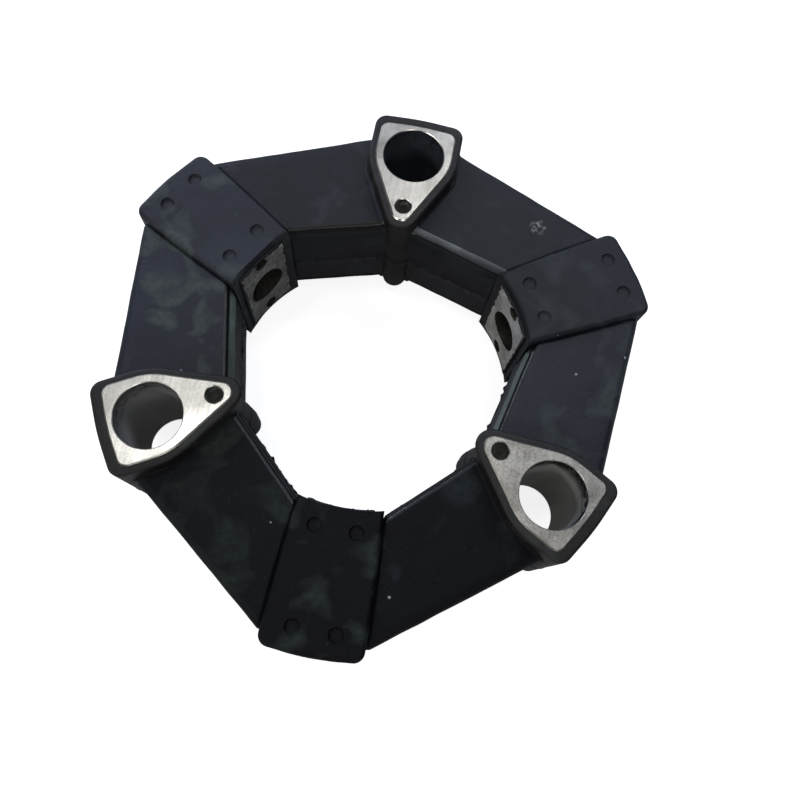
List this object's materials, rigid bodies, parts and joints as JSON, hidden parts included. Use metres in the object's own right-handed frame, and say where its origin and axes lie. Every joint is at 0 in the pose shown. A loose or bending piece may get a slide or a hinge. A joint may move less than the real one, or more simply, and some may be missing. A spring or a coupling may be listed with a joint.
{
  "type": "flexible coupling ring",
  "caption": "Flexible rubber coupling ring with bonded aluminium inserts: axial ones bolt to a flange, radial ones to a hub, and the rubber arms between them wind up under torque.",
  "frame": {"origin": "on the coupling axis, in the plane of the flange faces of the axial inserts", "axes": "+Z along the coupling axis, out of the flange faces; +Y through the middle of axial insert 1"},
  "size_m": [0.1532, 0.1587, 0.042],
  "materials": {
    "machined_aluminium": "ground face with fine parallel cutter lines",
    "cast_aluminium": "as-cast, dull, pitted grey",
    "jacket_rubber": "moulded black rubber, satin",
    "ring_rubber": "moulded black rubber with cloudy bloom and scuffs"
  },
  "bodies": {
    "hub_side": {"radial_insert_1": "cast_aluminium", "radial_insert_2": "cast_aluminium", "radial_insert_3": "cast_aluminium", "radial_cover_1": "ring_rubber", "radial_cover_2": "ring_rubber", "radial_cover_3": "ring_rubber", "rubber_arm_1": "ring_rubber", "rubber_arm_2": "ring_rubber", "rubber_arm_3": "ring_rubber", "rubber_arm_4": "ring_rubber", "rubber_arm_5": "ring_rubber", "rubber_arm_6": "ring_rubber"},
    "flange_side": {"axial_insert_1": "machined_aluminium", "axial_insert_2": "machined_aluminium", "axial_insert_3": "machined_aluminium", "axial_jacket_1": "jacket_rubber", "axial_jacket_2": "jacket_rubber", "axial_jacket_3": "jacket_rubber"}
  },
  "joints": [
    {"name": "wind_up", "type": "hinge", "parent": "hub_side", "child": "flange_side", "pos_m": [0, 0, 0], "axis": [0, 0, 1], "range_deg": [-6, 6], "stiffness_Nm_per_rad": 1900, "deforming": ["rubber_arm_1", "rubber_arm_2", "rubber_arm_3", "rubber_arm_4", "rubber_arm_5", "rubber_arm_6"]}
  ]
}
